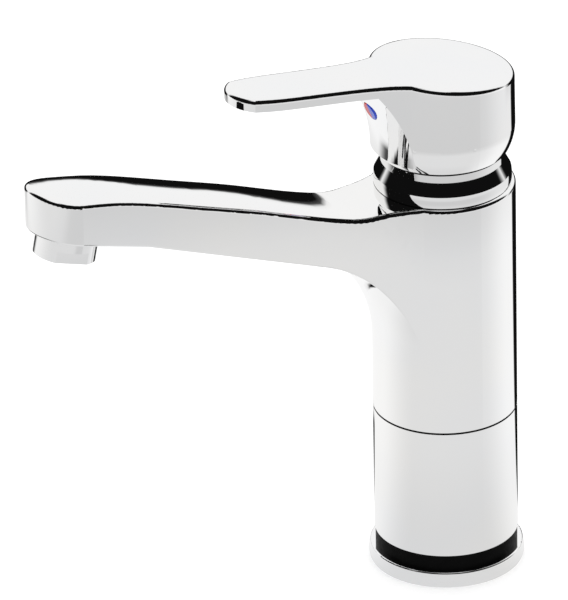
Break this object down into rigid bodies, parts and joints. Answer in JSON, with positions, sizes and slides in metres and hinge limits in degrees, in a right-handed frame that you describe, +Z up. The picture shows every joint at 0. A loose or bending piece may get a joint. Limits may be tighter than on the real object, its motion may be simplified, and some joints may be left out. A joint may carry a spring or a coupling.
{
  "type": "bathroom mixer faucet",
  "caption": "Single-hole bathroom mixer faucet: the spout swings on a fixed base and a top lever turns for temperature and lifts for flow.",
  "frame": {"origin": "centre of the foot flange's underside, where the faucet stands on the deck", "axes": "+Z up along the body's axis, -Y towards the spout's and the lever's tips, +X towards the cold side"},
  "size_m": [0.0576, 0.1954, 0.2074],
  "materials": {
    "chrome_foot": "polished",
    "chrome_sleeve": "polished",
    "chrome_spout": "polished",
    "chrome_aerator": "polished",
    "chrome_dome": "polished",
    "chrome_handle": "polished",
    "black_seal": "matt",
    "black_rubber": "matt",
    "white_bearing": "satin",
    "brass_core": "machined",
    "brass_nut": "machined",
    "brass_stem": "machined",
    "steel_pin": "ground",
    "steel_screw": "black oxide",
    "steel_mesh": "woven",
    "aerator_plastic": "moulded",
    "cartridge_plastic": "moulded",
    "cartridge_grey": "moulded",
    "ceramic": "lapped",
    "red_index": "gloss",
    "blue_index": "gloss"
  },
  "bodies": {
    "base": {"valve_core": "brass_core", "foot_flange": "chrome_foot", "base_ring": "black_seal", "base_sleeve": "chrome_sleeve", "slide_ring": "white_bearing", "swing_stop_pin": "steel_pin", "spout_seal_low": "black_rubber", "spout_seal_high": "black_rubber", "cartridge_base": "cartridge_plastic", "port_seal_hot": "black_rubber", "port_seal_cold": "black_rubber", "port_seal_mixed": "black_rubber", "fixed_ceramic_disc": "ceramic", "cartridge_housing": "cartridge_plastic", "cartridge_nut": "brass_nut", "dome_ring": "chrome_dome"},
    "spout": {"spout_body": "chrome_spout", "aerator_housing": "chrome_aerator", "aerator_insert": "aerator_plastic", "aerator_screen": "steel_mesh", "aerator_seal": "black_rubber"},
    "rotor": {"cartridge_rotor": "cartridge_grey", "lever_pin": "steel_pin"},
    "disc": {"moving_ceramic_disc": "ceramic", "disc_carrier": "cartridge_plastic"},
    "lever": {"handle": "chrome_handle", "cartridge_stem": "brass_stem", "handle_screw": "steel_screw", "index_plug_hot": "red_index", "index_plug_cold": "blue_index"}
  },
  "joints": [
    {"name": "spout_swivel", "type": "hinge", "parent": "base", "child": "spout", "pos_m": [0, 0, 0.1], "axis": [0, 0, 1], "range_deg": [-55, 55]},
    {"name": "handle_turn", "type": "hinge", "parent": "base", "child": "rotor", "pos_m": [0, 0, 0.1525], "axis": [0, 0, 1], "range_deg": [-45, 45]},
    {"name": "handle_lift", "type": "hinge", "parent": "rotor", "child": "lever", "pos_m": [0, 0, 0.1525], "axis": [-1, 0, 0], "range_deg": [0, 24]},
    {"name": "disc_slide", "type": "slide", "parent": "rotor", "child": "disc", "axis": [0, -1, 0], "range_m": [0, 0.0046]}
  ],
  "couplings": [
    {"joint": "disc_slide", "follows": "handle_lift", "m_per_rad": 0.0104}
  ]
}
